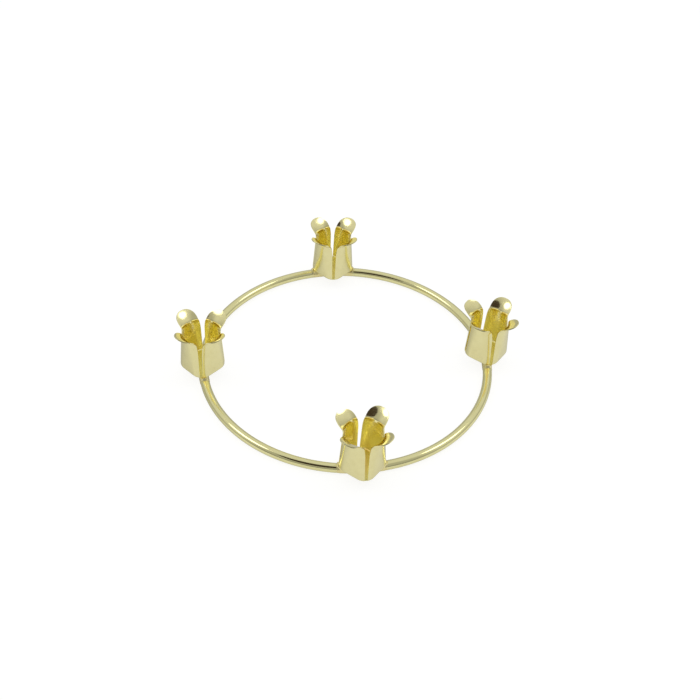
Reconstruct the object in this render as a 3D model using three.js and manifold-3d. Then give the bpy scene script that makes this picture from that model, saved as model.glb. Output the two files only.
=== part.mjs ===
// Advent candle ring: a round brass wire ring that carries four spring cups for slim candles.
// Millimetres, +Z up. The origin is the ring's centre, on the surface that the wire rests on.
import * as THREE from 'three';
import { mergeVertices } from 'three/addons/utils/BufferGeometryUtils.js';
import Module from 'manifold-3d';

const wasm = await Module();
wasm.setup();

// Ring of round wire
const RING_DIAMETER = 100; // to the middle of the wire
const WIRE_DIAMETER = 3.2;
const WIRE_SIDES = 16;
const RING_STEPS = 80;

// Cups, one for each Sunday, named in the order in which they follow each other round the ring
const CUP_NAMES = ['right', 'back', 'left', 'front'];
const PETAL_NAMES = ['outer_ccw', 'inner_ccw', 'inner_cw', 'outer_cw'];
const SHEET = 0.4;
const CUP_WIDTH = 13.2; // outside, across two opposite petals
const CUP_CORNER = 4.6; // outside radius in plan at the floor; at the fold the cup is round
const WALL_HEIGHT = 14.85; // underside of the floor to the fold of the lip
const BEND_RADIUS = 1.0; // outside of the bend from floor to wall
const FOLD_RADIUS = 0.6; // outside of the fold from wall to lip
const LIP_REACH = 3.9;
const LIP_RISE = 3.1;
const LOBE_POWER = 1.75; // roundness of a lip's lobe: 1 is a straight chamfer, 2 an ellipse
const SLOT_FOOT_WIDTH = 0.9;
const SLOT_TOP_WIDTH = 2.1;

// Solder between wire and cup
const SOLDER_WIDTH = 5.6; // under the cup's floor
const SOLDER_CLIMB = 1.4; // how far it rises on the cup's wall
const SOLDER_FOOT = 0.4; // thickness where it ends on the wire
const SOLDER_TOE = 1.5; // how far it runs out along the wire past the cup

// Clearance kept between two pieces that meet
const SEAM = 0.2;

// Fineness of the curves
const PETAL_STEPS = 10;
const ARC_STEPS = 3;
const LOBE_STEPS = 6;
const SOLDER_STEPS = 6;
const SOLDER_SIDES = 24;

// Sizes that follow from the ones above
const RING_RADIUS = RING_DIAMETER / 2;
const WIRE_RADIUS = WIRE_DIAMETER / 2;
const HALF_CUP = CUP_WIDTH / 2;
const QUARTER_TURN = Math.PI / 2;
const EIGHTH_TURN = Math.PI / 4;
const FLOOR_UNDERSIDE = WIRE_DIAMETER + SEAM;
const CUP_REACH = (HALF_CUP - CUP_CORNER) * Math.SQRT2 + CUP_CORNER; // from the cup's axis to a slot's foot

const BRASS = { color: 0xd6cc8c, roughness: 0.16, metalness: 1.0 };
const SOLDERED_BRASS = { color: 0xcfc27c, roughness: 0.24, metalness: 1.0 };

// A plane curve in three dimensions, given by a formula of its length share
class PlaneCurve extends THREE.Curve {
  constructor(pointAt) {
    super();
    this.pointAt = pointAt;
  }

  getPoint(t, target = new THREE.Vector3()) {
    const [x, y] = this.pointAt(t);
    return target.set(x, y, 0);
  }
}

function toSolid(geometry) {
  const bare = geometry.clone();
  bare.deleteAttribute('normal');
  bare.deleteAttribute('uv');
  const merged = mergeVertices(bare);
  const vertProperties = new Float32Array(merged.getAttribute('position').array);
  const triVerts = new Uint32Array(merged.getIndex().array);
  return new wasm.Manifold(new wasm.Mesh({ numProp: 3, vertProperties, triVerts }));
}

function toGeometry(solid) {
  const mesh = solid.getMesh();
  const geometry = new THREE.BufferGeometry();
  geometry.setAttribute('position', new THREE.BufferAttribute(mesh.vertProperties, 3));
  geometry.setIndex(new THREE.BufferAttribute(mesh.triVerts, 1));
  geometry.computeVertexNormals();
  return geometry;
}

// Points of an arc about (out, up), from one angle to another
function arc(out, up, radius, from, to, steps = ARC_STEPS) {
  return Array.from({ length: steps + 1 }, (_, i) => {
    const angle = from + ((to - from) * i) / steps;
    return [out + radius * Math.cos(angle), up + radius * Math.sin(angle)];
  });
}

// A closed flat shape through [x, y] points
function flatShape(points) {
  return new THREE.Shape(points.map(([x, y]) => new THREE.Vector2(x, y)));
}

// Sweeps a section of [out, up] points along a plane curve that runs counterclockwise
function sweep(section, curve, steps) {
  const shape = flatShape(section.map(([out, up]) => [-up, -out]));
  return new THREE.ExtrudeGeometry(shape, { steps, extrudePath: curve, bevelEnabled: false });
}

// Turns a closed profile of [radius, up] points round the Z axis
function revolve(profile, segments) {
  const points = [...profile, profile[0]].map(([radius, up]) => new THREE.Vector2(radius, up));
  return new THREE.LatheGeometry(points, segments).rotateX(QUARTER_TURN);
}

// The wire's section has a flat side below, so that the ring rests on a true plane
function ringWire() {
  const corner = WIRE_RADIUS / Math.cos(Math.PI / WIRE_SIDES);
  const section = Array.from({ length: WIRE_SIDES }, (_, i) => {
    const angle = (2 * Math.PI * (i + 0.5)) / WIRE_SIDES;
    return [RING_RADIUS + corner * Math.cos(angle), WIRE_RADIUS + corner * Math.sin(angle)];
  });
  return revolve(section, RING_STEPS);
}

// Outside of the cup in plan, from one slot to the next, with the petal's middle on +X
function petalPlan(corner) {
  const halfFlat = HALF_CUP - corner;
  const halfLength = halfFlat + corner * EIGHTH_TURN;
  return new PlaneCurve((t) => {
    const along = (2 * t - 1) * halfLength;
    const turn = Math.max(Math.abs(along) - halfFlat, 0) / corner;
    const side = Math.sign(along) * (Math.min(Math.abs(along), halfFlat) + corner * Math.sin(turn));
    return [halfFlat + corner * Math.cos(turn), side];
  });
}

// Section of the sheet: bend at the floor, upright wall, fold and lip. The wall's outside is at out = 0
function petalSection() {
  const lipAngle = Math.atan2(LIP_RISE, LIP_REACH);
  const foldEnd = lipAngle + QUARTER_TURN;
  const foldUp = WALL_HEIGHT - FOLD_RADIUS * Math.tan((QUARTER_TURN - lipAngle) / 2);
  const lipUp = WALL_HEIGHT + LIP_RISE;
  return [
    ...arc(-BEND_RADIUS, BEND_RADIUS, BEND_RADIUS, -QUARTER_TURN, 0),
    ...arc(FOLD_RADIUS, foldUp, FOLD_RADIUS, Math.PI, foldEnd),
    [LIP_REACH, lipUp],
    [LIP_REACH - SHEET * Math.sin(lipAngle), lipUp + SHEET * Math.cos(lipAngle)],
    ...arc(FOLD_RADIUS, foldUp, FOLD_RADIUS + SHEET, foldEnd, Math.PI),
    ...arc(-BEND_RADIUS, BEND_RADIUS, BEND_RADIUS - SHEET, 0, -QUARTER_TURN),
  ];
}

// The sheet of a petal before its slots are cut, which goes from square at the floor to round at the fold
function petalStrip() {
  const section = petalSection();
  const strip = sweep(section, petalPlan(CUP_CORNER), PETAL_STEPS);
  const places = strip.getAttribute('position');
  const roundPlaces = sweep(section, petalPlan(HALF_CUP), PETAL_STEPS).getAttribute('position');
  const place = new THREE.Vector3();
  const roundPlace = new THREE.Vector3();
  for (let i = 0; i < places.count; i += 1) {
    place.fromBufferAttribute(places, i);
    roundPlace.fromBufferAttribute(roundPlaces, i);
    place.lerp(roundPlace, THREE.MathUtils.clamp(place.z / WALL_HEIGHT, 0, 1));
    places.setXYZ(i, ...place);
  }
  return strip;
}

// What is cut away between two petals: a slot that widens upwards, then opens round the two lobes
function slotCutter() {
  const footHalf = SLOT_FOOT_WIDTH / 2;
  const topHalf = SLOT_TOP_WIDTH / 2;
  const lobeMiddle = (HALF_CUP + LIP_REACH) * Math.SQRT1_2;
  const crest = LIP_RISE + SHEET;
  const lobe = Array.from({ length: LOBE_STEPS + 1 }, (_, i) => {
    const angle = (QUARTER_TURN * i) / LOBE_STEPS;
    const across = Math.cos(angle) ** (2 / LOBE_POWER);
    const up = Math.sin(angle) ** (2 / LOBE_POWER);
    return [lobeMiddle - (lobeMiddle - topHalf) * across, WALL_HEIGHT + crest * up];
  });
  const side = [[footHalf, -SHEET], ...lobe, [lobeMiddle, WALL_HEIGHT + crest + SHEET]];
  const mirrored = side.map(([across, up]) => [-across, up]).reverse();
  const outline = flatShape([...side, ...mirrored]);
  const depth = CUP_REACH + LIP_REACH + SHEET;
  const cutter = new THREE.ExtrudeGeometry(outline, { depth, bevelEnabled: false });
  const axes = [[0, 1, 0], [0, 0, 1], [1, 0, 0]].map((axis) => new THREE.Vector3(...axis));
  return cutter.applyMatrix4(new THREE.Matrix4().makeBasis(...axes));
}

// One spring petal, with its middle on +X of the cup and the cup's floor underside at Z = 0
function petal() {
  const strip = toSolid(petalStrip());
  const slot = slotCutter();
  const ahead = toSolid(slot.clone().rotateZ(EIGHTH_TURN));
  const behind = toSolid(slot.clone().rotateZ(-EIGHTH_TURN));
  return toGeometry(strip.subtract(ahead).subtract(behind));
}

// Plate with the cup's rounded square plan, drawn in by an inset, with its sides facing the petals
function cupPlate(inset, depth) {
  const corner = CUP_CORNER - inset;
  const middle = (HALF_CUP - CUP_CORNER) * Math.SQRT2;
  const outline = [0, 1, 2, 3].flatMap((quarter) => {
    const from = quarter * QUARTER_TURN;
    const out = middle * Math.cos(from + EIGHTH_TURN);
    const up = middle * Math.sin(from + EIGHTH_TURN);
    return arc(out, up, corner, from, from + QUARTER_TURN, 2 * ARC_STEPS);
  });
  const plate = new THREE.ExtrudeGeometry(flatShape(outline), { depth, bevelEnabled: false });
  return plate.rotateZ(EIGHTH_TURN);
}

// Flat floor inside the bends, on which the candle stands
function cupFloor() {
  return cupPlate(BEND_RADIUS + SEAM, SHEET);
}

// Solder that fills the corner on both sides of the wire under a cup, and climbs the cup's wall past it
function solder() {
  const bed = WIRE_RADIUS + SEAM;
  const half = SOLDER_WIDTH / 2;
  const underside = FLOOR_UNDERSIDE - WIRE_RADIUS;
  const flank = new THREE.QuadraticBezierCurve(
    new THREE.Vector2(bed + SOLDER_FOOT, 0),
    new THREE.Vector2(bed + SOLDER_FOOT, underside),
    new THREE.Vector2(half, underside),
  );
  const crown = new THREE.QuadraticBezierCurve(
    new THREE.Vector2(half, underside),
    new THREE.Vector2(SOLDER_FOOT, underside),
    new THREE.Vector2(SOLDER_FOOT, underside + SOLDER_CLIMB),
  );
  const outside = [...flank.getPoints(ARC_STEPS), ...crown.getPoints(ARC_STEPS).slice(1)];
  const side = outside.map(({ x, y }) => [x, y]);
  const otherSide = side.map(([out, up]) => [-out, up]).reverse();
  const section = [...side, ...otherSide, ...arc(0, 0, bed, Math.PI, 0, 2 * ARC_STEPS)];
  const halfAngle = (CUP_REACH + SOLDER_TOE) / RING_RADIUS;
  const path = new PlaneCurve((t) => {
    const angle = (2 * t - 1) * halfAngle;
    return [RING_RADIUS * (Math.cos(angle) - 1), RING_RADIUS * Math.sin(angle)];
  });
  const bead = toSolid(sweep(section, path, SOLDER_STEPS).translate(0, 0, WIRE_RADIUS));
  const top = FLOOR_UNDERSIDE + SOLDER_CLIMB;
  const fillet = new THREE.QuadraticBezierCurve(
    new THREE.Vector2(CUP_REACH + SOLDER_TOE, FLOOR_UNDERSIDE + SOLDER_FOOT),
    new THREE.Vector2(CUP_REACH + SOLDER_FOOT, FLOOR_UNDERSIDE + SOLDER_FOOT),
    new THREE.Vector2(CUP_REACH + SOLDER_FOOT, top),
  );
  const slope = fillet.getPoints(2 * ARC_STEPS).map(({ x, y }) => [x, y]);
  const ends = toSolid(revolve([[0, 0], [CUP_REACH + SOLDER_TOE, 0], ...slope, [0, top]], SOLDER_SIDES));
  const seat = toSolid(cupPlate(-SEAM, SOLDER_CLIMB + 2 * SEAM).translate(0, 0, FLOOR_UNDERSIDE - SEAM));
  return toGeometry(bead.intersect(ends).subtract(seat));
}

function piece(name, geometry, finish) {
  const mesh = new THREE.Mesh(geometry, new THREE.MeshStandardMaterial(finish));
  mesh.name = name;
  return mesh;
}

// A cup stands on the wire with its slots along and across the ring
function cup(name, shapes) {
  const group = new THREE.Group();
  group.add(piece(`${name}_solder`, shapes.solder, SOLDERED_BRASS));
  const sheet = new THREE.Group();
  sheet.position.z = FLOOR_UNDERSIDE;
  sheet.add(piece(`${name}_cup_floor`, shapes.floor, BRASS));
  PETAL_NAMES.forEach((petalName, i) => {
    const mesh = piece(`${name}_petal_${petalName}`, shapes.petal, BRASS);
    mesh.rotation.z = EIGHTH_TURN + i * QUARTER_TURN;
    sheet.add(mesh);
  });
  group.add(sheet);
  return group;
}

const candleRing = new THREE.Group();
candleRing.add(piece('ring_wire', ringWire(), BRASS));
const shapes = { petal: petal(), floor: cupFloor(), solder: solder() };
CUP_NAMES.forEach((name, i) => {
  const station = new THREE.Group();
  const stand = cup(name, shapes);
  stand.position.x = RING_RADIUS;
  station.rotation.z = (2 * Math.PI * i) / CUP_NAMES.length;
  station.add(stand);
  candleRing.add(station);
});

export default candleRing;
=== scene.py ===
"""Dresses the advent wreath, a brass ring with four spring cups, and sets up its picture."""
import logging
import math
from dataclasses import dataclass, field
from enum import Enum
from typing import Any, Callable

import bmesh
import bpy
from mathutils import Matrix, Vector


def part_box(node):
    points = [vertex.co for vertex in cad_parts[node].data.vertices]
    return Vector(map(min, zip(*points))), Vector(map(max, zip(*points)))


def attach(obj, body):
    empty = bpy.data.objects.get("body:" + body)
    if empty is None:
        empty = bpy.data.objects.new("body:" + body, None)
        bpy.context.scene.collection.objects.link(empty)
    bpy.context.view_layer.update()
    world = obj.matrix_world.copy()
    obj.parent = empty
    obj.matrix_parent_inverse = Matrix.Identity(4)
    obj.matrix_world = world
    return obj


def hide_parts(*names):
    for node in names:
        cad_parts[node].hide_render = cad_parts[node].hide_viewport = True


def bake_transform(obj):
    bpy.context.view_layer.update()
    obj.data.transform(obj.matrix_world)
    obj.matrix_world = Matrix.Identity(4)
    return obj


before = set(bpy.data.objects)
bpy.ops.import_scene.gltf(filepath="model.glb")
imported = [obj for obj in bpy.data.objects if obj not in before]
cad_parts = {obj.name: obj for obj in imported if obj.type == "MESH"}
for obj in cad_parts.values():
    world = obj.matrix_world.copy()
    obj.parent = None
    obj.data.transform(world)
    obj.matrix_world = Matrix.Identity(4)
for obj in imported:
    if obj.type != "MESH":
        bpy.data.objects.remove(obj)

log = logging.getLogger("candle_ring")

MILLIMETRE = 0.001
SEAM_GAP = 0.01
SHARP_EDGE = 60.0
Colour = tuple[float, float, float, float]
WHITE: Colour = (1.0, 1.0, 1.0, 1.0)


class Part(Enum):
    """Which parts of a mesh are picked in edit mode."""

    POINTS = "VERT"
    EDGES = "EDGE"
    FACES = "FACE"


class Station(Enum):
    """Where a cup stands on the ring, as a turn from +X in degrees."""

    RIGHT = 0
    BACK = 90
    LEFT = 180
    FRONT = 270

    @property
    def label(self) -> str:
        """The station's name in the frame's nodes."""
        return self.name.lower()

    @property
    def turn(self) -> float:
        """The station's turn in radians."""
        return math.radians(self.value)


class Corner(Enum):
    """Which way a petal looks, as a turn from its cup's outward direction in degrees."""

    OUTER_CCW = 45
    INNER_CCW = 135
    INNER_CW = 225
    OUTER_CW = 315

    @property
    def label(self) -> str:
        """The petal's name in the frame's nodes."""
        return self.name.lower()

    @property
    def turn(self) -> float:
        """The petal's turn in radians."""
        return math.radians(self.value)


def take(*objects: bpy.types.Object) -> bpy.types.Object:
    """Selects only the given objects and makes the first one active.

    Args:
        objects: The objects to work on.

    Returns:
        The active object.
    """
    bpy.ops.object.select_all(action="DESELECT")
    for obj in objects:
        obj.select_set(True)
    bpy.context.view_layer.objects.active = objects[0]
    return objects[0]


def open_mesh(obj: bpy.types.Object) -> None:
    """Takes an object into edit mode with nothing picked.

    Args:
        obj: The object to edit.
    """
    take(obj)
    bpy.ops.object.mode_set(mode="EDIT")
    bpy.ops.mesh.select_all(action="DESELECT")


def close_mesh() -> None:
    """Goes back to object mode."""
    bpy.ops.object.mode_set(mode="OBJECT")


def pick(part: Part, test: Callable[[Any], bool]) -> None:
    """Picks the open mesh's points, edges or faces that pass a test, and nothing else.

    Args:
        part: What is picked.
        test: Says whether one of them is picked.
    """
    bpy.ops.mesh.select_mode(type=part.value)
    bpy.ops.mesh.select_all(action="DESELECT")
    mesh = bpy.context.active_object.data
    shape = bmesh.from_edit_mesh(mesh)
    rows = {Part.POINTS: shape.verts, Part.EDGES: shape.edges, Part.FACES: shape.faces}[part]
    for item in rows:
        if test(item):
            item.select_set(True)
    shape.select_flush_mode()
    bmesh.update_edit_mesh(mesh)


def all_ends(edge: bmesh.types.BMEdge, test: Callable[[Vector], bool]) -> bool:
    """Says whether both ends of an edge pass a test of their place."""
    return all(test(point.co) for point in edge.verts)


def near(value: float, goal: float, slack: float = 1e-3) -> bool:
    """Says whether a length in millimetres is at its goal."""
    return abs(value - goal) < slack


def finish_with(obj: bpy.types.Object, kind: str, **settings: Any) -> None:
    """Adds one modifier to an object and applies it.

    Args:
        obj: The object to finish.
        kind: The modifier's type.
        settings: The modifier's settings by name.
    """
    take(obj)
    modifier = obj.modifiers.new(kind.lower(), kind)
    for name, value in settings.items():
        setattr(modifier, name, value)
    bpy.ops.object.modifier_apply(modifier=modifier.name)


def close_seams(obj: bpy.types.Object, gap: float) -> None:
    """Merges an object's doubled points and turns its faces outwards.

    Args:
        obj: The object to mend.
        gap: Points closer than this are one point.
    """
    open_mesh(obj)
    bpy.ops.mesh.select_all(action="SELECT")
    bpy.ops.mesh.remove_doubles(threshold=gap)
    bpy.ops.mesh.normals_make_consistent(inside=False)
    close_mesh()


def smooth(obj: bpy.types.Object, angle: float) -> None:
    """Shades an object smooth, apart from edges sharper than an angle in degrees."""
    take(obj)
    bpy.ops.object.shade_smooth_by_angle(angle=math.radians(angle))


def copy_to(model: bpy.types.Object, name: str, place: Matrix) -> bpy.types.Object:
    """Copies a model made in millimetres to its place in the frame.

    Args:
        model: The finished model.
        name: The copy's name.
        place: Where it goes, in millimetres.

    Returns:
        The copy, with its own mesh, in metres.
    """
    copy = model.copy()
    copy.data = model.data.copy()
    copy.name = copy.data.name = name
    bpy.context.collection.objects.link(copy)
    copy.data.transform(Matrix.Scale(MILLIMETRE, 4) @ place)
    log.info("piece %s", name)
    return copy


def discard(*objects: bpy.types.Object) -> None:
    """Deletes models that have been copied to their places."""
    take(*objects)
    bpy.ops.object.delete()


class Board:
    """Lays out and joins the nodes of one material or world."""

    def __init__(self, tree: bpy.types.NodeTree) -> None:
        """Clears a node tree and keeps it."""
        self.tree = tree
        tree.nodes.clear()

    def add(self, kind: str, sockets: dict[str | int, Any] | None = None,
            **settings: Any) -> bpy.types.Node:
        """Adds one node.

        Args:
            kind: The node's type, without its ShaderNode prefix.
            sockets: Values or output sockets for the node's inputs.
            settings: The node's own settings.

        Returns:
            The new node.
        """
        node = self.tree.nodes.new("ShaderNode" + kind)
        for name, value in settings.items():
            setattr(node, name, value)
        for name, value in (sockets or {}).items():
            if isinstance(value, bpy.types.NodeSocket):
                self.tree.links.new(value, node.inputs[name])
            else:
                node.inputs[name].default_value = value
        return node

    def spread(self, value: bpy.types.NodeSocket, source: tuple[float, float],
               target: tuple[float, float]) -> bpy.types.NodeSocket:
        """Maps a value from one range to another and holds it there.

        Args:
            value: The socket to map.
            source: The range that counts.
            target: The range that it becomes.

        Returns:
            The mapped value's socket.
        """
        sockets = {"Value": value, "From Min": source[0], "From Max": source[1],
                   "To Min": target[0], "To Max": target[1]}
        return self.add("MapRange", sockets).outputs["Result"]

    def noise(self, vector: bpy.types.NodeSocket, scale: float, detail: float = 2.0,
              grain: float = 0.5) -> bpy.types.NodeSocket:
        """Adds a noise texture.

        Args:
            vector: The coordinates that it reads.
            scale: How many spots lie in one unit of them.
            detail: How many finer layers it has.
            grain: How strong the finer layers are.

        Returns:
            The noise's value socket.
        """
        sockets = {"Vector": vector, "Scale": scale, "Detail": detail, "Roughness": grain}
        return self.add("TexNoise", sockets).outputs["Fac"]

    def bump(self, height: bpy.types.NodeSocket, depth: float,
             below: bpy.types.NodeSocket | None = None) -> bpy.types.NodeSocket:
        """Adds relief to a surface.

        Args:
            height: The relief's height from 0 to 1.
            depth: What a height of 1 stands for, in metres.
            below: A coarser relief that this one lies on.

        Returns:
            The normal's socket.
        """
        sockets = {"Height": height, "Distance": depth, "Strength": 1.0}
        if below:
            sockets["Normal"] = below
        return self.add("Bump", sockets).outputs["Normal"]


@dataclass(frozen=True)
class BrassFinish:
    """A bright brass surface: its colours, how far its gloss varies and the depth of its relief."""

    name: str
    bright: Colour
    deep: Colour
    gloss: tuple[float, float]
    line_scale: tuple[float, float, float]
    line_depth: float
    wave_scale: float
    wave_depth: float
    cloud_scale: float = 380.0
    cloud_haze: float = 0.05
    follows_wire: bool = False

    def coordinates(self, board: Board) -> bpy.types.NodeSocket:
        """Gives the coordinates that the fine lines follow.

        Args:
            board: The material's nodes.

        Returns:
            The place on the object or, for the wire, its distance from the middle, height and turn.
        """
        place = board.add("TexCoord").outputs["Object"]
        if not self.follows_wire:
            return place
        axes = board.add("SeparateXYZ", {"Vector": place}).outputs
        flat = board.add("CombineXYZ", {"X": axes["X"], "Y": axes["Y"]}).outputs["Vector"]
        radius = board.add("VectorMath", {0: flat}, operation="LENGTH").outputs["Value"]
        turn = board.add("Math", {0: axes["Y"], 1: axes["X"]}, operation="ARCTAN2").outputs["Value"]
        sockets = {"X": radius, "Y": axes["Z"], "Z": turn}
        return board.add("CombineXYZ", sockets).outputs["Vector"]

    def build(self) -> bpy.types.Material:
        """Makes the finish.

        Returns:
            The material.
        """
        material = bpy.data.materials.new(self.name)
        material.use_nodes = True
        board = Board(material.node_tree)
        place = board.add("TexCoord").outputs["Object"]
        along = board.add("Mapping", {"Vector": self.coordinates(board), "Scale": self.line_scale})
        lines = board.noise(along.outputs["Vector"], 1.0, detail=3.0, grain=0.6)
        clouds = board.noise(place, self.cloud_scale, detail=3.0)
        waves = board.noise(place, self.wave_scale, detail=1.0)
        share = board.spread(clouds, (0.35, 0.7), (0.0, 1.0))
        # A colour Mix node has its colours on inputs 6 and 7 and its result on output 2.
        mix = board.add("Mix", {0: share, 6: self.bright, 7: self.deep}, data_type="RGBA")
        tint = mix.outputs[2]
        haze = board.spread(clouds, (0.4, 0.7), (0.0, self.cloud_haze))
        gloss = board.add("Math", {0: board.spread(lines, (0.3, 0.7), self.gloss), 1: haze},
                          operation="ADD")
        relief = board.bump(lines, self.line_depth, board.bump(waves, self.wave_depth))
        surface = board.add("BsdfPrincipled", {
            "Base Color": tint, "Metallic": 1.0, "Roughness": gloss.outputs["Value"],
            "Normal": relief})
        board.add("OutputMaterial", {"Surface": surface.outputs["BSDF"]})
        return material


SHEET_FINISH = BrassFinish(
    name="polished_brass_sheet", bright=(0.83, 0.77, 0.41, 1.0), deep=(0.80, 0.735, 0.375, 1.0),
    gloss=(0.08, 0.16), line_scale=(5200.0, 5200.0, 260.0), line_depth=2.5e-6,
    wave_scale=190.0, wave_depth=7.0e-5)
# Satin brass inside the cups in a lighter colour than the sheet: the lighter colour is painted
# light that brightens the cups' insides.
INSIDE_PAINTED_LIGHT = BrassFinish(
    name="satin_brass_inside", bright=(0.92, 0.855, 0.45, 1.0), deep=(0.90, 0.825, 0.42, 1.0),
    gloss=(0.13, 0.22), line_scale=(5200.0, 5200.0, 260.0), line_depth=1.5e-6,
    wave_scale=190.0, wave_depth=4.0e-5)
# Smoother brass on the fold with a painted highlight: its lighter colour stands in for the bright
# line that mirrored lamp light draws along the crease.
FOLD_PAINTED_HIGHLIGHT = BrassFinish(
    name="burnished_brass_fold", bright=(0.97, 0.90, 0.48, 1.0), deep=(0.95, 0.87, 0.44, 1.0),
    gloss=(0.06, 0.11), line_scale=(5200.0, 5200.0, 260.0), line_depth=1.5e-6,
    wave_scale=190.0, wave_depth=4.0e-5)
# The floor plate's brass is darker and more olive than the sheet.
FLOOR_FINISH = BrassFinish(
    name="darker_olive_brass_floor", bright=(0.71, 0.68, 0.28, 1.0), deep=(0.64, 0.59, 0.22, 1.0),
    gloss=(0.28, 0.40), line_scale=(2600.0, 2600.0, 2600.0), line_depth=4.0e-6,
    wave_scale=300.0, wave_depth=3.0e-5)
WIRE_FINISH = BrassFinish(
    name="drawn_brass_wire", bright=(0.81, 0.77, 0.41, 1.0), deep=(0.785, 0.735, 0.375, 1.0),
    gloss=(0.05, 0.11), line_scale=(6000.0, 6000.0, 14.0), line_depth=1.5e-6,
    wave_scale=120.0, wave_depth=2.0e-5, follows_wire=True)
SOLDER_FINISH = BrassFinish(
    name="solder_run", bright=(0.84, 0.76, 0.39, 1.0), deep=(0.79, 0.69, 0.33, 1.0),
    gloss=(0.14, 0.24), line_scale=(2200.0, 2200.0, 2200.0), line_depth=1.5e-6,
    wave_scale=420.0, wave_depth=4.0e-5)


@dataclass
class RingWire:
    """The ring of round wire that carries the cups. Sizes in millimetres."""

    radius: float
    wire_radius: float
    sides: int = 48
    steps: int = 320

    def build(self) -> bpy.types.Object:
        """Makes the ring in its place.

        Returns:
            The ring.
        """
        bpy.ops.object.select_all(action="DESELECT")
        bpy.ops.mesh.primitive_circle_add(
            vertices=self.sides, radius=self.wire_radius,
            location=(self.radius, 0, self.wire_radius), rotation=(math.pi / 2, 0, 0))
        model = bpy.context.object
        bpy.ops.object.transform_apply(location=True, rotation=True, scale=True)
        open_mesh(model)
        bpy.ops.mesh.select_all(action="SELECT")
        bpy.ops.mesh.spin(steps=self.steps, angle=2 * math.pi, center=(0, 0, 0), axis=(0, 0, 1))
        close_mesh()
        close_seams(model, SEAM_GAP)
        smooth(model, SHARP_EDGE)
        ring = copy_to(model, "ring_of_wire", Matrix.Identity(4))
        discard(model)
        return ring

    def dress(self, ring: bpy.types.Object, finish: bpy.types.Material) -> None:
        """Gives the ring its finish and body.

        Args:
            ring: The ring in its place.
            finish: The wire's finish.
        """
        ring.data.materials.append(finish)
        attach(ring, "ring")
        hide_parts("ring_wire")


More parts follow.
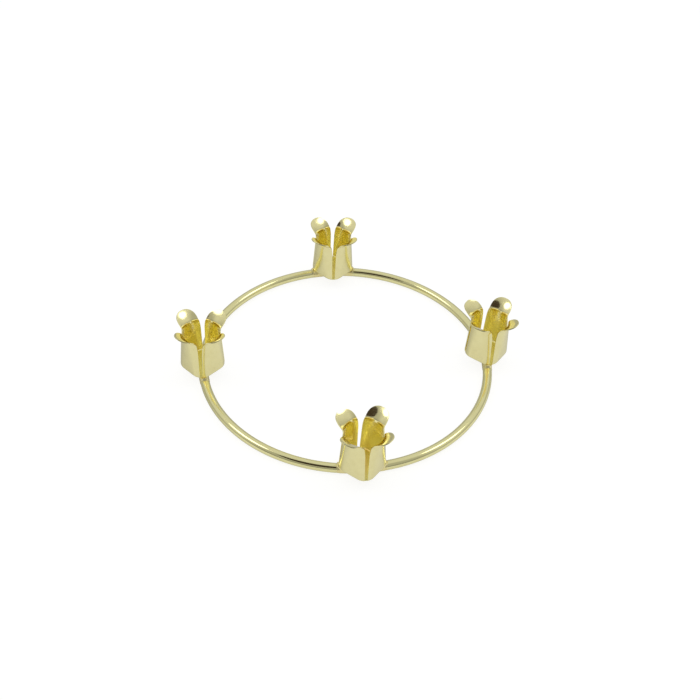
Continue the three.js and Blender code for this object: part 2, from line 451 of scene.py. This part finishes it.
@dataclass
class SpringPetal:
    """One spring petal of a cup, folded from flat sheet. Sizes in millimetres."""

    half_cup: float = 6.6
    corner: float = 4.0
    mouth_corner: float = 6.4
    sheet: float = 0.4
    wall: float = 14.85
    bend: float = 1.0
    fold: float = 1.3
    tongue: float = 1.5
    lip_reach: float = 3.7
    lip_rise: float = 2.95
    lip_crown: float = 0.24
    lobe_drop: float = 2.0
    lobe_power: float = 1.9
    lobe_end: float = 0.997
    fold_foot: float = -0.35
    fold_head: float = 0.4
    slot_foot: float = 0.9
    slot_top: float = 1.4
    flex_height: float = 4.0
    inside_facing: float = 0.8
    fold_facing: float = 0.7
    crease: float = 0.75
    bend_steps: int = 4
    columns: int = 11
    wall_cuts: int = 5
    lip_cuts: int = 9
    levels: int = 2

    @property
    def reach(self) -> float:
        """The distance from the cup's axis to the foot of a slot."""
        return (self.half_cup - self.corner) * math.sqrt(2) + self.corner

    @property
    def lip_way(self) -> Vector:
        """The direction of the blank's lip from the fold to its tip."""
        return Vector((0, -self.lip_reach, self.lip_rise)).normalized()

    @property
    def lip_length(self) -> float:
        """The length of the lip from the sharp fold line to its tip."""
        return math.hypot(self.lip_reach, self.lip_rise)

    @property
    def fold_set(self) -> float:
        """The distance from the sharp fold line to the ends of the rounded fold."""
        return self.fold * math.tan(math.acos(self.lip_way.z) / 2)

    def half_plan(self, corner: float) -> float:
        """Gives half the length of a plan with the given corners, from slot to slot."""
        return self.half_cup - corner + corner * math.pi / 4

    def plan(self, corner: float, share: float, out: float) -> Vector:
        """Gives a place of the petal in plan.

        Args:
            corner: The radius of the plan's corners.
            share: How far it lies from the petal's middle to the slot, from 0 to 1.
            out: How far it lies outside the wall.

        Returns:
            The place, with the petal's middle on +X.
        """
        flat, along = self.half_cup - corner, share * self.half_plan(corner)
        turn = max(along - flat, 0.0) / corner
        arm = Vector((math.cos(turn), math.sin(turn))) * (corner + out)
        return Vector((flat, min(along, flat))) + arm

    def roundness(self, up: float) -> float:
        """Says how round the cup is at a height, from 0 at the floor to 1 at the fold."""
        return min(max(up / self.wall, 0.0), 1.0)

    def half_slot(self, up: float) -> float:
        """Gives the distance from the middle of a slot to the petal's edge.

        Args:
            up: The height over the underside of the floor.

        Returns:
            Half the width of the slot there.
        """
        foot, top, start = self.slot_foot / 2, self.slot_top / 2, self.wall - self.lobe_drop
        if up <= start:
            return foot + (top - foot) * max(up, 0.0) / start
        share = min((up - start) / (self.lobe_drop + self.lip_rise), 1.0) * self.lobe_end
        middle = (self.half_cup + self.lip_reach) * math.sqrt(0.5)
        return middle - (middle - top) * (1 - share ** self.lobe_power) ** (1 / self.lobe_power)

    def edge_share(self, out: float, up: float) -> float:
        """Finds where a row of the petal ends at the slot.

        Args:
            out: How far the row lies outside the wall.
            up: Its height over the underside of the floor.

        Returns:
            The end's share of the way from the petal's middle to the middle of the slot.
        """
        low, high = 0.0, 1.0
        halvings = 30
        for _ in range(halvings):
            share = (low + high) / 2
            foot = self.plan(self.corner, share, out)
            at = foot.lerp(self.plan(self.mouth_corner, share, out), self.roundness(up))
            if (at.x - at.y) * math.sqrt(0.5) > self.half_slot(up):
                low = share
            else:
                high = share
        return low

    def blank(self) -> bpy.types.Object:
        """Makes the folded blank's outside, with its width still the same all the way up.

        Returns:
            The blank, with its length along X, the cup's inside at +Y and its wall upright.
        """
        bpy.ops.object.select_all(action="DESELECT")
        bpy.ops.mesh.primitive_plane_add(
            size=1, location=(0, 0, self.wall / 2), rotation=(math.pi / 2, 0, 0))
        blank = bpy.context.object
        blank.scale = (2, self.wall, 1)
        bpy.ops.object.transform_apply(location=True, rotation=True, scale=True)
        open_mesh(blank)
        pick(Part.EDGES, lambda edge: all_ends(edge, lambda at: near(at.z, self.wall)))
        lip = (0, -self.lip_reach, self.lip_rise)
        bpy.ops.mesh.extrude_region_move(TRANSFORM_OT_translate={"value": lip})
        pick(Part.EDGES, lambda edge: all_ends(edge, lambda at: near(at.z, 0)))
        bpy.ops.mesh.extrude_region_move(TRANSFORM_OT_translate={"value": (0, self.tongue, 0)})
        pick(Part.EDGES, lambda edge: all_ends(edge, lambda at: near(at.z, 0) and near(at.y, 0)))
        bpy.ops.mesh.bevel(offset=self.bend, segments=self.bend_steps, affect="EDGES")
        pick(Part.EDGES, lambda edge: all_ends(
            edge, lambda at: near(at.z, self.wall) and near(at.y, 0)))
        bpy.ops.mesh.bevel(offset=self.fold_set, segments=self.bend_steps, affect="EDGES")
        pick(Part.EDGES, lambda edge: self.runs_up(edge) and all_ends(
            edge, lambda at: at.z > self.wall + self.lip_way.z * self.fold_set - 1e-3))
        bpy.ops.mesh.subdivide(number_cuts=self.lip_cuts)
        pick(Part.EDGES, lambda edge: self.runs_up(edge) and all_ends(
            edge, lambda at: self.bend - 1e-3 < at.z < self.wall - self.fold_set + 1e-3))
        bpy.ops.mesh.subdivide(number_cuts=self.wall_cuts)
        pick(Part.EDGES, lambda edge: not self.runs_up(edge))
        bpy.ops.mesh.subdivide(number_cuts=self.columns)
        bpy.ops.mesh.select_all(action="SELECT")
        bpy.ops.mesh.normals_make_consistent(inside=False)
        close_mesh()
        return blank

    @staticmethod
    def runs_up(edge: bmesh.types.BMEdge) -> bool:
        """Says whether an edge of the blank runs up its section."""
        return near(edge.verts[0].co.x, edge.verts[1].co.x)

    def cut_outline(self, blank: bpy.types.Object) -> None:
        """Draws the blank's rows in to the outline of slots and lobe, and curls the lip.

        Args:
            blank: The folded blank, which changes.
        """
        points = blank.data.vertices
        rows = sorted({(round(point.co.y, 4), round(point.co.z, 4)) for point in points})
        raised = Vector((0, self.lip_way.z, -self.lip_way.y))
        first = -self.lip_way.y * self.fold_set / self.lip_reach
        open_mesh(blank)
        for y, z in rows:
            pick(Part.POINTS, lambda point: near(point.co.y, y) and near(point.co.z, z))
            along = max(-y / self.lip_reach, 0.0)
            crowd = max(along - first, 0.0) / (1 - first)
            step = math.sin(crowd * math.pi / 2) - crowd
            shift = self.lip_way * step * (1 - first) * self.lip_length
            share = self.edge_share(-y - shift.y, z + shift.z)
            bpy.ops.transform.resize(value=(share, 1, 1), center_override=(0, y, z))
            along -= shift.y / self.lip_reach
            curl = raised * 4 * along * (1 - along) * self.lip_crown
            bpy.ops.transform.translate(value=shift + curl)
        close_mesh()

    def former(self, corner: float) -> bpy.types.Object:
        """Makes the guide that the blank is bent round: the outside of the cup in plan.

        Args:
            corner: The radius of the plan's corners.

        Returns:
            A plane curve from one slot to the next, with the petal's middle on +X.
        """
        bpy.ops.object.select_all(action="DESELECT")
        bpy.ops.curve.primitive_bezier_curve_add()
        former = bpy.context.object
        former.data.dimensions = "2D"
        former.data.resolution_u = 64
        bpy.ops.object.mode_set(mode="EDIT")
        bpy.ops.curve.select_all(action="SELECT")
        bpy.ops.curve.subdivide(number_cuts=2)
        bpy.ops.object.mode_set(mode="OBJECT")
        flat = self.half_cup - corner
        pull, step = corner * 4 / 3 * math.tan(math.pi / 16), flat * 2 / 3
        rows = ((-1, -1, pull, pull), (0, -1, pull, step), (0, 1, step, pull), (1, 1, pull, pull))
        points = former.data.splines[0].bezier_points
        for point, (eighths, side, before, after) in zip(points, rows):
            turn = eighths * math.pi / 4
            way = Vector((-math.sin(turn), math.cos(turn), 0))
            point.handle_left_type = point.handle_right_type = "FREE"
            across = flat * side + corner * math.sin(turn)
            point.co = (flat + corner * math.cos(turn), across, 0)
            point.handle_left = point.co - way * before
            point.handle_right = point.co + way * after
        return former

    def bent(self, blank: bpy.types.Object, corner: float) -> bpy.types.Object:
        """Bends a copy of the flat blank round a plan with the given corners.

        Args:
            blank: The flat petal.
            corner: The radius of the plan's corners.

        Returns:
            The bent copy.
        """
        petal = blank.copy()
        petal.data = blank.data.copy()
        bpy.context.collection.objects.link(petal)
        length = self.half_plan(corner)
        take(petal)
        petal.scale = (length, 1, 1)
        petal.location = (length, 0, 0)
        bpy.ops.object.transform_apply(location=True, rotation=True, scale=True)
        former = self.former(corner)
        finish_with(petal, "CURVE", object=former, deform_axis="POS_X")
        discard(former)
        return petal

    def build(self) -> bpy.types.Object:
        """Makes the petal with its middle on +X of the cup and the floor's underside at Z = 0.

        Returns:
            The petal.
        """
        blank = self.blank()
        self.cut_outline(blank)
        wall_face = next(face for face in blank.data.polygons if near(face.center.y, 0))
        finish_with(blank, "SOLIDIFY", thickness=self.sheet,
                    offset=math.copysign(1, wall_face.normal.y), use_even_offset=True,
                    edge_crease_inner=self.crease, edge_crease_outer=self.crease)
        finish_with(blank, "SUBSURF", levels=self.levels, render_levels=self.levels)
        petal, mouth = self.bent(blank, self.corner), self.bent(blank, self.mouth_corner)
        take(petal, mouth)
        bpy.ops.object.join_shapes()
        height = petal.vertex_groups.new(name="height")
        for point in petal.data.vertices:
            height.add([point.index], self.roundness(point.co.z), "REPLACE")
        key = petal.data.shape_keys.key_blocks[-1]
        key.vertex_group = height.name
        key.value = 1.0
        petal.active_shape_key_index = 1
        take(petal)
        bpy.ops.object.shape_key_remove(all=True, apply_mix=True)
        petal.vertex_groups.remove(height)
        discard(blank, mouth)
        close_seams(petal, SEAM_GAP / 100)
        smooth(petal, SHARP_EDGE)
        self.mark_inside(petal)
        return petal

    def mark_inside(self, petal: bpy.types.Object) -> None:
        """Gives the faces inside the cup the second finish, a lighter copy with painted light, and
        those on the fold the third, a painted highlight.

        Args:
            petal: The finished petal, which changes.
        """
        for face in petal.data.polygons:
            inwards = -face.normal.to_2d().dot(face.center.to_2d().normalized())
            above = face.center.z - self.wall
            # Inside faces take the lighter copy with painted light, fold faces the painted
            # highlight.
            if inwards > self.inside_facing and above < self.fold_foot:
                face.material_index = 1
            elif inwards > self.fold_facing and above < self.fold_head:
                face.material_index = 2

    def dress(self, petal: bpy.types.Object, node: str, foot: Vector,
              finishes: tuple[bpy.types.Material, ...]) -> None:
        """Gives a placed petal its finishes, bakes its place into its mesh and hides the part that
        it stands for.

        Args:
            petal: The petal in its place.
            node: The frame's node that it stands for.
            foot: The middle of its foot, in metres. Not used.
            finishes: The sheet's finishes outside, inside (a lighter copy with painted light) and
                on the fold (a painted highlight).
        """
        for finish in finishes:
            petal.data.materials.append(finish)
        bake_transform(petal)
        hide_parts(node)


@dataclass
class CupFloor:
    """The flat floor of a cup, inside the bends of its petals. Sizes in millimetres."""

    petal: SpringPetal
    overlap: float = 0.3
    proud: float = 0.02
    edge: float = 0.06
    corner_steps: int = 14
    edge_steps: int = 2
    sharp_edge: float = 20.0

    def build(self) -> bpy.types.Object:
        """Makes the floor on the cup's axis with its underside at Z = 0.

        Returns:
            The floor.
        """
        inset = self.petal.bend - self.overlap
        half = self.petal.half_cup - inset
        corner = self.petal.corner - inset
        bpy.ops.object.select_all(action="DESELECT")
        bpy.ops.mesh.primitive_plane_add(size=2 * half, location=(0, 0, -self.proud))
        floor = bpy.context.object
        bpy.ops.object.transform_apply(location=True, rotation=True, scale=True)
        open_mesh(floor)
        bpy.ops.mesh.select_all(action="SELECT")
        bpy.ops.mesh.bevel(offset=corner, segments=self.corner_steps, affect="VERTICES")
        bpy.ops.mesh.select_all(action="SELECT")
        thickness = self.petal.sheet + 2 * self.proud
        bpy.ops.mesh.extrude_region_move(TRANSFORM_OT_translate={"value": (0, 0, thickness)})
        bpy.ops.mesh.select_all(action="SELECT")
        bpy.ops.mesh.normals_make_consistent(inside=False)
        pick(Part.EDGES, lambda edge: near(edge.verts[0].co.z, edge.verts[1].co.z))
        bpy.ops.mesh.bevel(offset=self.edge, segments=self.edge_steps, affect="EDGES")
        close_mesh()
        smooth(floor, self.sharp_edge)
        return floor

    def dress(self, floor: bpy.types.Object, node: str, finish: bpy.types.Material) -> None:
        """Gives a placed floor its finish and body.

        Args:
            floor: The floor in its place.
            node: The frame's node that it stands for.
            finish: The floor's finish.
        """
        floor.data.materials.append(finish)
        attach(floor, "ring")
        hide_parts(node)


@dataclass
class SolderJoint:
    """The solder between a cup and the wire, with its runs. Sizes in millimetres."""

    ring_radius: float
    wire_radius: float
    floor_underside: float
    cup_reach: float
    toe: float = 1.5
    skin: float = 0.14
    climb: float = 0.65
    table_gap: float = 0.05
    end_depth: float = 0.1
    end_catch: float = 0.6
    half_pad: float = 2.7
    pad_overlap: float = 0.1
    pad_foot: tuple[float, float, float] = (0.68, 0.97, 1.0)
    wedge_radii: tuple[float, float] = (1.5, 0.5)
    wedge_head: tuple[float, float, float] = (1.6, 0.5, 1.0)
    plug_gap: float = 0.2
    plug_height: float = 6.0
    grain: float = 0.13
    settle: int = 34
    blur: int = 3

    def sleeve(self) -> bpy.types.Object:
        """Makes the skin of solder round the wire, which thins out at both ends.

        Returns:
            The sleeve, on the ring at +X.
        """
        half_angle = (self.cup_reach + self.toe) / self.ring_radius
        bpy.ops.object.select_all(action="DESELECT")
        bpy.ops.mesh.primitive_circle_add(
            vertices=32, radius=self.wire_radius + self.skin, fill_type="NGON",
            location=(self.ring_radius, 0, self.wire_radius), rotation=(math.pi / 2, 0, 0))
        sleeve = bpy.context.object
        bpy.ops.object.transform_apply(location=True, rotation=True, scale=True)
        sleeve.data.transform(Matrix.Rotation(half_angle, 4, "Z"))
        open_mesh(sleeve)
        bpy.ops.mesh.select_all(action="SELECT")
        bpy.ops.mesh.spin(steps=40, angle=2 * half_angle, center=(0, 0, 0), axis=(0, 0, 1))
        pick(Part.POINTS, lambda point: point.co.z < self.wire_radius - SEAM_GAP)
        flatten = (self.wire_radius - self.table_gap) / (self.wire_radius + self.skin)
        bpy.ops.transform.resize(value=(1, 1, flatten), center_override=(0, 0, self.wire_radius))
        for side in (-1, 1):
            end = Vector((math.cos(half_angle), side * math.sin(half_angle), 0)) * self.ring_radius
            end.z = self.wire_radius
            catch = self.wire_radius + self.end_catch
            pick(Part.POINTS, lambda point: (point.co - end).length < catch)
            thin = (self.wire_radius - self.end_depth) / (self.wire_radius + self.skin)
            bpy.ops.transform.resize(value=(thin, 1, thin), center_override=end)
        close_mesh()
        close_seams(sleeve, SEAM_GAP)
        return sleeve

    def pad(self) -> bpy.types.Object:
        """Makes the pool of solder between the wire and the cup's floor.

        Returns:
            The pad, on the ring at +X.
        """
        top = self.floor_underside + self.pad_overlap
        bpy.ops.object.select_all(action="DESELECT")
        bpy.ops.mesh.primitive_cylinder_add(
            vertices=48, radius=1, depth=top - self.wire_radius,
            location=(self.ring_radius, 0, (top + self.wire_radius) / 2))
        pad = bpy.context.object
        pad.scale = (self.half_pad, self.cup_reach + self.pad_overlap, 1)
        bpy.ops.object.transform_apply(location=True, rotation=True, scale=True)
        open_mesh(pad)
        pick(Part.POINTS, lambda point: point.co.z < self.floor_underside - 0.5)
        middle = (self.ring_radius, 0, self.wire_radius)
        bpy.ops.transform.resize(value=self.pad_foot, center_override=middle)
        close_mesh()
        return pad

    def wedge(self, side: int) -> bpy.types.Object:
        """Makes the run of solder that climbs the cup's wall over the wire.

        Args:
            side: -1 or 1 for either end of the joint.

        Returns:
            The wedge, on the ring at +X.
        """
        angle = side * self.cup_reach / self.ring_radius
        foot = Vector((math.cos(angle), math.sin(angle), 0)) * self.ring_radius
        foot.z = self.wire_radius
        height = self.floor_underside + self.climb - self.wire_radius
        bpy.ops.object.select_all(action="DESELECT")
        bpy.ops.mesh.primitive_cone_add(
            vertices=24, radius1=self.wedge_radii[0], radius2=self.wedge_radii[1], depth=height,
            location=foot + Vector((0, 0, height / 2)))
        wedge = bpy.context.object
        bpy.ops.object.transform_apply(location=True, rotation=True, scale=True)
        open_mesh(wedge)
        pick(Part.POINTS, lambda point: point.co.z > foot.z + height / 2)
        bpy.ops.transform.resize(value=self.wedge_head, center_override=foot)
        close_mesh()
        return wedge

    def plug(self) -> bpy.types.Object:
        """Makes the body that keeps the cup's inside clear of solder.

        Returns:
            The plug, on the ring at +X.
        """
        middle = self.floor_underside + self.plug_gap + self.plug_height / 2
        bpy.ops.object.select_all(action="DESELECT")
        bpy.ops.mesh.primitive_cylinder_add(
            vertices=64, radius=self.cup_reach - self.plug_gap, depth=self.plug_height,
            location=(self.ring_radius, 0, middle))
        plug = bpy.context.object
        bpy.ops.object.transform_apply(location=True, rotation=True, scale=True)
        return plug

    def build(self) -> bpy.types.Object:
        """Makes the joint of the cup at +X.

        Returns:
            The joint.
        """
        joint = take(self.sleeve(), self.pad(), self.wedge(-1), self.wedge(1))
        bpy.ops.object.join()
        finish_with(joint, "REMESH", mode="VOXEL", voxel_size=self.grain)
        finish_with(joint, "SMOOTH", factor=0.5, iterations=self.settle)
        plug = self.plug()
        finish_with(joint, "BOOLEAN", operation="DIFFERENCE", object=plug, solver="EXACT")
        discard(plug)
        close_seams(joint, 2 * SEAM_GAP)
        finish_with(joint, "SMOOTH", factor=0.5, iterations=self.blur)
        smooth(joint, SHARP_EDGE)
        return joint

    def dress(self, joint: bpy.types.Object, node: str, finish: bpy.types.Material) -> None:
        """Gives a placed joint its finish and body.

        Args:
            joint: The joint in its place.
            node: The frame's node that it stands for.
            finish: The solder's finish.
        """
        joint.data.materials.append(finish)
        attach(joint, "ring")
        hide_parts(node)


@dataclass
class CandleCups:
    """The four cups with petals, floors and solder, each modelled once. Sizes in millimetres."""

    ring_radius: float
    wire_radius: float
    floor_underside: float
    foot_height: float = 0.3
    petal: SpringPetal = field(default_factory=SpringPetal)
    twists: dict[Station, float] = field(default_factory=lambda: {
        Station.RIGHT: 3.0, Station.BACK: -3.0, Station.LEFT: -4.5, Station.FRONT: 3.0})

    def build(self, sheet: tuple[bpy.types.Material, ...], darker_olive: bpy.types.Material,
              solder: bpy.types.Material) -> None:
        """Makes all the cups in their places.

        Args:
            sheet: The petals' finishes outside, inside (a lighter copy with painted light) and on
                the fold (a painted highlight).
            darker_olive: The floors' finish, darker and more olive than the sheet.
            solder: The solder's finish.
        """
        floor = CupFloor(self.petal)
        joint = SolderJoint(
            self.ring_radius, self.wire_radius, self.floor_underside, self.petal.reach)
        petal_model, floor_model, joint_model = self.petal.build(), floor.build(), joint.build()
        for station in Station:
            turn = Matrix.Rotation(station.turn, 4, "Z")
            twist = Matrix.Rotation(math.radians(self.twists[station]), 4, "Z")
            stand = turn @ Matrix.Translation((self.ring_radius, 0, self.floor_underside)) @ twist
            for corner in Corner:
                node = f"{station.label}_petal_{corner.label}"
                name = f"{station.label}_spring_petal_{corner.label}"
                place = stand @ Matrix.Rotation(corner.turn, 4, "Z")
                piece = copy_to(petal_model, name, place)
                foot = place @ Vector((self.petal.half_cup, 0, self.foot_height)) * MILLIMETRE
                self.petal.dress(piece, node, foot, sheet)
            square = stand @ Matrix.Rotation(math.pi / 4, 4, "Z")
            plate = copy_to(floor_model, f"{station.label}_floor_plate", square)
            floor.dress(plate, f"{station.label}_cup_floor", darker_olive)
            run = copy_to(joint_model, f"{station.label}_solder_run", turn)
            joint.dress(run, f"{station.label}_solder", solder)
            log.info("%s cup: four petals, floor and solder", station.label)
        discard(petal_model, floor_model, joint_model)


def direction(azimuth: float, elevation: float) -> Vector:
    """Gives the direction at an azimuth and an elevation.

    Args:
        azimuth: The turn from the front towards the right, in degrees.
        elevation: The angle over the table, in degrees.

    Returns:
        The direction, away from the middle of the ring.
    """
    turn, rise = math.radians(azimuth), math.radians(elevation)
    level = math.cos(rise)
    return Vector((math.sin(turn) * level, -math.cos(turn) * level, math.sin(rise)))


@dataclass(frozen=True)
class RoomPatch:
    """A round part of the room with its own level of light. Angles in degrees."""

    azimuth: float
    elevation: float
    inner: float
    outer: float
    level: float


@dataclass(frozen=True)
class SoftLamp:
    """A round soft lamp that looks at the ring. Angles in degrees, sizes in metres."""

    name: str
    azimuth: float
    elevation: float
    width: float
    radiance: float
    distance: float


ROOM_PATCHES = (RoomPatch(azimuth=-10, elevation=25, inner=50, outer=68, level=0.50),)
SOFT_LAMPS = (
    SoftLamp("soft_lamp_left", azimuth=-98, elevation=54, width=0.30, radiance=2.0, distance=0.8),
    SoftLamp("soft_lamp_right", azimuth=95, elevation=54, width=0.235, radiance=2.0, distance=0.65))


@dataclass
class Studio:
    """The table, the light and the camera. Sizes in metres and degrees."""

    aim: Vector
    distance: float = 0.406
    elevation: float = 43.445
    azimuth: float = -8.0
    roll: float = 3.17
    focal_pixels: float = 1150.0
    sensor: float = 36.0
    picture: int = 700
    aim_offset: tuple[float, float] = (3.67, 11.46)
    table_radius: float = 3.0
    table_white: float = 1.14
    table_seen: float = 0.75
    table_mirrored: float = 0.6
    # Painted shade of the table's glow in mirrors, in place of the cups' shadows: its levels, range
    # and direction.
    mirrored_shade: tuple[float, float] = (0.76, 0.30)
    mirrored_shade_range: tuple[float, float] = (0.02, 0.62)
    mirrored_shade_azimuth: float = 12.0
    paper: Colour = (0.9, 0.9, 0.89, 1.0)
    dome: float = 0.77
    skyline: float = 0.5
    skyline_top: float = 0.54
    deep_level: float = 1.0
    # The card is a painted dark reflection of the camera's side, seen only in mirrors.
    card_azimuth: float = -27.0
    card_elevation: float = 51.0
    card_distance: float = 0.513
    card_radius: float = 0.19
    card_level: float = 0.055
    card_tint: Colour = (1.0, 0.72, 0.58, 1.0)
    bounces: int = 12

    def camera(self) -> None:
        """Sets the camera at the photograph's place."""
        back = direction(self.azimuth, self.elevation)
        side = Vector((0, 0, 1)).cross(back).normalized()
        step = self.distance / self.focal_pixels
        offset = side * self.aim_offset[0] + back.cross(side) * self.aim_offset[1]
        middle = self.aim + offset * step
        lens = bpy.data.cameras.new("camera")
        lens.sensor_width = self.sensor
        lens.lens = self.sensor * self.focal_pixels / self.picture
        lens.clip_start = 0.01
        eye = bpy.data.objects.new("camera", lens)
        bpy.context.collection.objects.link(eye)
        eye.location = self.aim + back * self.distance
        level = (middle - eye.location).to_track_quat("-Z", "Y").to_matrix()
        eye.rotation_euler = (level @ Matrix.Rotation(math.radians(self.roll), 3, "Z")).to_euler()
        bpy.context.scene.camera = eye

    def table(self) -> None:
        """Makes the pale table top.

        It is white to the camera and keeps a faint shadow. In mirrors it glows with painted shade,
        darker for light that heads away from the front, in place of the cups' shadows on the table.
        """
        bpy.ops.object.select_all(action="DESELECT")
        bpy.ops.mesh.primitive_circle_add(vertices=96, radius=self.table_radius, fill_type="NGON")
        table = bpy.context.object
        table.name = "table_top"
        open_mesh(table)
        bpy.ops.mesh.select_all(action="SELECT")
        bpy.ops.mesh.inset(thickness=self.table_radius / 2)
        close_mesh()
        material = bpy.data.materials.new("white_table")
        material.use_nodes = True
        board = Board(material.node_tree)
        path = board.add("LightPath").outputs
        paper = board.add("BsdfDiffuse", {"Color": self.paper})
        white = board.add("Emission", {"Color": WHITE, "Strength": self.table_white})
        # Painted shade: the table's glow in mirrors darkens for light heading away from the front.
        origin = board.add("NewGeometry").outputs["Incoming"]
        front = board.add("VectorMath", {0: origin, 1: direction(self.mirrored_shade_azimuth, 0)},
                          operation="DOT_PRODUCT").outputs["Value"]
        level = board.spread(front, self.mirrored_shade_range, self.mirrored_shade)
        pale = board.add("Emission", {"Color": WHITE, "Strength": level})
        seen = board.spread(path["Is Camera Ray"], (0.0, 1.0), (0.0, self.table_seen))
        shining = board.add("Math", {0: path["Is Glossy Ray"], 1: path["Is Transmission Ray"]},
                            operation="MAXIMUM").outputs["Value"]
        mirrored = board.spread(shining, (0.0, 1.0), (0.0, self.table_mirrored))
        lit = board.add("MixShader", {
            0: seen, 1: paper.outputs["BSDF"], 2: white.outputs["Emission"]})
        both = board.add("MixShader", {
            0: mirrored, 1: lit.outputs["Shader"], 2: pale.outputs["Emission"]})
        board.add("OutputMaterial", {"Surface": both.outputs["Shader"]})
        table.data.materials.append(material)

    @staticmethod
    def inside_cup(board: Board, first: float) -> bpy.types.NodeSocket:
        """Marks the light that has been mirrored more than once, as inside the cups.

        Args:
            board: The nodes of the surface or world that gives the light.
            first: The ray depth of light that has been mirrored once.

        Returns:
            A socket that is 1 for such light and 0 for other light.
        """
        depth = board.add("LightPath").outputs["Ray Depth"]
        return board.spread(depth, (first, first + 1), (0.0, 1.0))

    def card(self) -> None:
        """Hangs the dark card round the lens that the polished lips mirror: a painted dark
        reflection, seen only in mirrors, that glows at the deep level for light mirrored more than
        once.
        """
        back = direction(self.card_azimuth, self.card_elevation)
        bpy.ops.object.select_all(action="DESELECT")
        bpy.ops.mesh.primitive_circle_add(
            vertices=64, radius=self.card_radius, fill_type="NGON",
            location=back * self.card_distance, rotation=back.to_track_quat("Z", "Y").to_euler())
        card = bpy.context.object
        card.name = "lens_card"
        bpy.ops.object.transform_apply(location=True, rotation=True, scale=True)
        open_mesh(card)
        bpy.ops.mesh.select_all(action="SELECT")
        bpy.ops.mesh.inset(thickness=self.card_radius / 4)
        close_mesh()
        material = bpy.data.materials.new("painted_dark_reflection")
        material.use_nodes = True
        board = Board(material.node_tree)
        levels = (self.card_level, self.deep_level)
        # Painted light: the card glows at the deep level for light that has been mirrored more than
        # once.
        level = board.spread(self.inside_cup(board, 1.0), (0.0, 1.0), levels)
        dark_reflection = board.add("Emission", {"Color": self.card_tint, "Strength": level})
        board.add("OutputMaterial", {"Surface": dark_reflection.outputs["Emission"]})
        card.data.materials.append(material)
        card.visible_camera = card.visible_diffuse = card.visible_shadow = False

    def room(self) -> None:
        """Sets the light of the pale room, darker on the camera's side and at the skyline."""
        world = bpy.data.worlds.new("room")
        bpy.context.scene.world = world
        world.use_nodes = True
        board = Board(world.node_tree)
        place = board.add("TexCoord").outputs["Generated"]
        level = self.dome
        for patch in ROOM_PATCHES:
            toward = direction(patch.azimuth, patch.elevation)
            cosine = board.add("VectorMath", {0: place, 1: toward},
                               operation="DOT_PRODUCT").outputs["Value"]
            ends = (math.cos(math.radians(patch.outer)), math.cos(math.radians(patch.inner)))
            share = board.spread(cosine, ends, (0.0, 1.0))
            level = board.add("Mix", {0: share, 2: level, 3: patch.level}).outputs[0]
        rise = board.add("SeparateXYZ", {"Vector": place}).outputs["Z"]
        skyline = board.spread(rise, (0.0, self.skyline_top), (self.skyline, 1.0))
        level = board.add("Math", {0: level, 1: skyline}, operation="MULTIPLY").outputs["Value"]
        deep = self.inside_cup(board, 2.0)
        level = board.add("Mix", {0: deep, 2: level, 3: self.deep_level}).outputs[0]
        light = board.add("Background", {"Color": WHITE, "Strength": level})
        white = board.add("Background", {"Color": WHITE, "Strength": 1.0})
        camera = board.add("LightPath").outputs["Is Camera Ray"]
        seen = board.add("MixShader", {
            0: camera, 1: light.outputs["Background"], 2: white.outputs["Background"]})
        board.add("OutputWorld", {"Surface": seen.outputs["Shader"]})

    def lamp(self, soft: SoftLamp) -> None:
        """Sets up one soft lamp.

        Args:
            soft: The lamp's place, size and level.
        """
        light = bpy.data.lights.new(soft.name, "AREA")
        light.shape = "DISK"
        light.size = soft.width
        light.energy = soft.radiance * math.pi * math.pi * soft.width ** 2 / 4
        lamp = bpy.data.objects.new(soft.name, light)
        bpy.context.collection.objects.link(lamp)
        back = direction(soft.azimuth, soft.elevation)
        lamp.location = self.aim + back * soft.distance
        lamp.rotation_euler = (-back).to_track_quat("-Z", "Y").to_euler()
        lamp.visible_camera = False

    def build(self) -> None:
        """Makes the table, the light and the camera."""
        self.table()
        self.card()
        self.room()
        for soft in SOFT_LAMPS:
            self.lamp(soft)
        self.camera()
        bpy.context.scene.view_settings.view_transform = "Standard"
        bpy.context.scene.cycles.max_bounces = self.bounces
        bpy.context.scene.cycles.glossy_bounces = self.bounces


def main() -> None:
    """Builds the ring, the cups and the studio."""
    logging.basicConfig(level=logging.INFO, format="%(name)s: %(message)s")
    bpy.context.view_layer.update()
    low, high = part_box("ring_wire")
    floor_low, floor_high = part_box("right_cup_floor")
    wire_radius = (high.z - low.z) / 2 / MILLIMETRE
    ring_radius = (floor_low.x + floor_high.x) / 2 / MILLIMETRE
    log.info("ring radius %.3f mm, wire radius %.3f mm", ring_radius, wire_radius)
    wire = RingWire(ring_radius, wire_radius)
    wire.dress(wire.build(), WIRE_FINISH.build())
    log.info("ring of wire")
    cups = CandleCups(ring_radius, wire_radius, floor_low.z / MILLIMETRE)
    # The inside finish is a lighter copy with painted light, the fold finish a painted highlight.
    sheet = (SHEET_FINISH.build(), INSIDE_PAINTED_LIGHT.build(), FOLD_PAINTED_HIGHLIGHT.build())
    cups.build(sheet, FLOOR_FINISH.build(), SOLDER_FINISH.build())
    Studio(aim=Vector((0, 0, wire_radius * MILLIMETRE))).build()
    log.info("studio")


if __name__ == "__main__":
    main()
